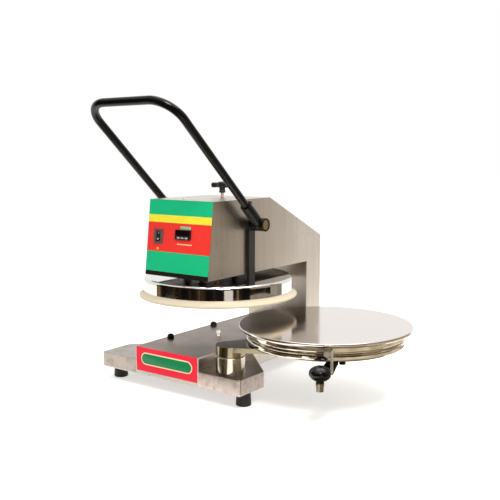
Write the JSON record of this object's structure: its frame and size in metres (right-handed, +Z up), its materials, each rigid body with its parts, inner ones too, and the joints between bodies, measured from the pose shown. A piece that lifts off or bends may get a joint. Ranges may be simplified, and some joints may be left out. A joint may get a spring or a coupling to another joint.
{
  "type": "manual dough press",
  "caption": "Manual dough press: C-shaped stainless body, heated upper platen driven down by a U-shaped lever, and a round lower platen on an arm that swings out to the side.",
  "frame": {"origin": "middle of the part's box, at the floor", "axes": "+X to the operator's right, where the lower platen swings out; +Y to the back; +Z up"},
  "size_m": [0.8464, 0.7834, 0.7921],
  "materials": {
    "stainless": "brushed stainless steel sheet",
    "chrome": "bright plating",
    "polished_plate": "polished working face",
    "pale_casting": "pale coated casting",
    "black_paint": "semi-gloss black paint",
    "rubber": "moulded rubber",
    "black_plastic": "moulded plastic",
    "bronze": "bearing bronze",
    "tool_steel": "ground steel",
    "red_overlay": "printed film in plain bands",
    "window": "dark display window",
    "amber": "amber lens",
    "pale_key": "pale push keys"
  },
  "bodies": {
    "frame": {"base_spine": "stainless", "base_wing_left": "stainless", "base_wing_right": "stainless", "base_bottom_plate": "stainless", "feet": "rubber", "foot_screws": "chrome", "base_label": "red_overlay", "bumpers": "rubber", "centre_stud": "chrome", "pivot_post": "stainless", "pivot_pin": "chrome", "frame_plate_left": "black_paint", "frame_plate_right": "black_paint", "housing_left": "stainless", "housing_right": "stainless", "housing_wrap": "stainless", "rear_cover": "stainless", "column_cover": "stainless", "head_underside": "black_paint", "control_panel": "stainless", "panel_overlay": "red_overlay", "switch_frame": "black_plastic", "controller_body": "black_plastic", "controller_window": "window", "pilot_lamp": "amber", "cord_gland": "black_plastic", "guide_plate": "black_paint", "guide_bushes": "bronze", "bridge_plate": "black_paint", "return_springs": "tool_steel"},
    "rocker": {"power_rocker": "black_plastic"},
    "key_left": {"button_left": "pale_key"},
    "key_middle": {"button_middle": "pale_key"},
    "key_right": {"button_right": "pale_key"},
    "adjuster": {"adjust_knob": "black_plastic", "adjust_screw": "chrome"},
    "reaction": {"reaction_beam": "tool_steel"},
    "carriage": {"upper_platen": "pale_casting", "platen_cover": "chrome", "ring_heater": "tool_steel", "heater_terminals": "bronze", "link_left": "black_paint", "link_right": "black_paint", "link_bushes": "bronze", "guide_posts": "chrome", "spring_collars": "tool_steel"},
    "lever": {"lever_tube": "black_paint", "hub_left": "black_paint", "hub_right": "black_paint", "cross_shaft": "chrome", "cams": "tool_steel", "hub_caps": "bronze", "socket_bolts": "black_paint"},
    "lower": {"swing_arm": "stainless", "arm_bush": "bronze", "lower_platen": "polished_plate", "platen_drum": "chrome", "pull_bracket": "black_paint", "pull_knob": "black_plastic", "pull_stud": "chrome"}
  },
  "joints": [
    {"name": "thickness_slide", "type": "slide", "parent": "frame", "child": "reaction", "axis": [0, 0, 1], "range_m": [-0.003, 0.003]},
    {"name": "platen_slide", "type": "slide", "parent": "reaction", "child": "carriage", "axis": [0, 0, -1], "range_m": [0, 0.036], "stiffness_N_per_m": 5000, "springref_m": -0.065, "deforming": ["return_springs"]},
    {"name": "lever_swing", "type": "hinge", "parent": "carriage", "child": "lever", "pos_m": [-0.17317, -0.01632, 0.4565], "axis": [1, 0, 0], "range_deg": [0, 80]},
    {"name": "knob_turn", "type": "hinge", "parent": "frame", "child": "adjuster", "pos_m": [-0.17317, 0.00428, 0.5267], "axis": [0, 0, 1], "range_deg": [-541, 541]},
    {"name": "platen_swing", "type": "hinge", "parent": "frame", "child": "lower", "pos_m": [0.00833, -0.19432, 0.126], "axis": [0, 0, 1], "range_deg": [-28, 92.2]},
    {"name": "rocker_tip", "type": "hinge", "parent": "frame", "child": "rocker", "pos_m": [-0.24517, -0.18737, 0.42498], "axis": [1, 0, 0], "range_deg": [0, 14]},
    {"name": "key_left_press", "type": "slide", "parent": "frame", "child": "key_left", "axis": [0, 0.993, -0.1179], "range_m": [0, 0.0008], "stiffness_N_per_m": 300, "springref_m": -0.001},
    {"name": "key_middle_press", "type": "slide", "parent": "frame", "child": "key_middle", "axis": [0, 0.993, -0.1179], "range_m": [0, 0.0008], "stiffness_N_per_m": 300, "springref_m": -0.001},
    {"name": "key_right_press", "type": "slide", "parent": "frame", "child": "key_right", "axis": [0, 0.993, -0.1179], "range_m": [0, 0.0008], "stiffness_N_per_m": 300, "springref_m": -0.001}
  ],
  "couplings": [
    {"joint": "lever_swing", "follows": "platen_slide", "rad_per_m": 38.785},
    {"joint": "knob_turn", "follows": "thickness_slide", "rad_per_m": 3141.6}
  ]
}
